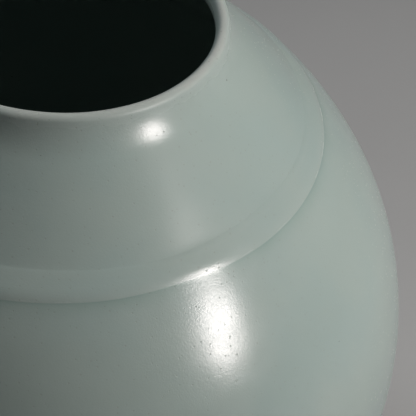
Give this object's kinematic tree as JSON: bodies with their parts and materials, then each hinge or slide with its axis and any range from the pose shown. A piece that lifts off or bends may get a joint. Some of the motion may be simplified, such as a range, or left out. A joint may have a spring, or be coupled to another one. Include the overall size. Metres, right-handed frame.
{
  "type": "porcelain vase",
  "caption": "Globular celadon-glazed porcelain vase with a wide round mouth, a raised band round its shoulder and a bare foot ring; it holds flowers or stands as a display piece.",
  "frame": {"origin": "centre of the foot ring's resting plane", "axes": "+Z is the vase's axis, pointing up through the mouth; X and Y are any two horizontal directions, because the vase is round"},
  "size_m": [0.197, 0.197, 0.1916],
  "materials": {
    "porcelain": "bare fired porcelain, fine matt",
    "slip": "fired porcelain slip, matt, covered by the glaze",
    "celadon_glaze": "glossy pale grey-green celadon glaze with fine orange peel and pinholes"
  },
  "bodies": {
    "root": {"lower_body": "porcelain", "upper_body": "porcelain", "mouth_collar": "porcelain", "shoulder_band": "porcelain", "foot_ring": "porcelain", "belly_slip_joint": "slip", "shoulder_slip_joint": "slip", "band_slip_bed": "slip", "foot_slip_joint": "slip", "outer_glaze": "celadon_glaze", "inner_glaze": "celadon_glaze", "base_glaze": "celadon_glaze"}
  },
  "joints": []
}
